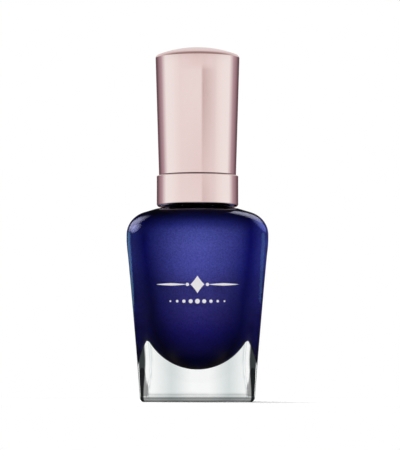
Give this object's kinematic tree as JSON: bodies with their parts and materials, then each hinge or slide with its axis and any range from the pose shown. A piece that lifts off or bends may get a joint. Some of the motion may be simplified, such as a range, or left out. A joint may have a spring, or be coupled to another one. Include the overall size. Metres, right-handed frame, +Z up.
{
  "type": "nail polish bottle",
  "caption": "Square glass nail lacquer bottle with a thick clear foot, a tall metallised screw cap and the brush inside it.",
  "frame": {"origin": "middle of the foot, on the surface the bottle stands on", "axes": "+Z up, along the axis of the neck and cap; X and Y square to the body's flat sides; the printed side faces -Y"},
  "size_m": [0.0308, 0.0308, 0.078],
  "materials": {
    "clear_glass": "polished, clear",
    "blue_lacquer": "blue lacquer with fine pearl",
    "ball_steel": "polished bearing steel",
    "liner_foam": "white foamed polyethylene",
    "stem_plastic": "black moulded polyethylene",
    "bristle_nylon": "dark nylon filament, wet with lacquer",
    "anchor_steel": "stainless flat wire",
    "inner_cap_plastic": "black moulded polypropylene",
    "metallised_cap": "vacuum-metallised rose gold under a clear coat"
  },
  "bodies": {
    "bottle": {"glass_bottle": "clear_glass", "lacquer": "blue_lacquer"},
    "mixing_balls": {"mixing_ball_1": "ball_steel", "mixing_ball_2": "ball_steel"},
    "neck_seal": {"neck_seal_liner": "liner_foam"},
    "applicator": {"brush_stem": "stem_plastic", "bristle_tuft": "bristle_nylon", "brush_anchor": "anchor_steel"},
    "cap": {"inner_cap": "inner_cap_plastic", "cap_collar": "metallised_cap", "overcap": "metallised_cap"}
  },
  "joints": [
    {"name": "ball_roll", "type": "hinge", "parent": "bottle", "child": "mixing_balls", "pos_m": [0, 0, 0.01], "axis": [0, 0, 1], "continuous": true},
    {"name": "cap_lift", "type": "slide", "parent": "bottle", "child": "neck_seal", "axis": [0, 0, 1], "range_m": [0, 0.06]},
    {"name": "thread_rise", "type": "slide", "parent": "neck_seal", "child": "applicator", "axis": [0, 0, 1], "range_m": [0, 0.0032]},
    {"name": "cap_turn", "type": "hinge", "parent": "applicator", "child": "cap", "pos_m": [0, 0, 0.0427], "axis": [0, 0, 1], "range_deg": [0, 540]}
  ],
  "couplings": [
    {"joint": "thread_rise", "follows": "cap_turn", "m_per_rad": 0.00033741}
  ]
}
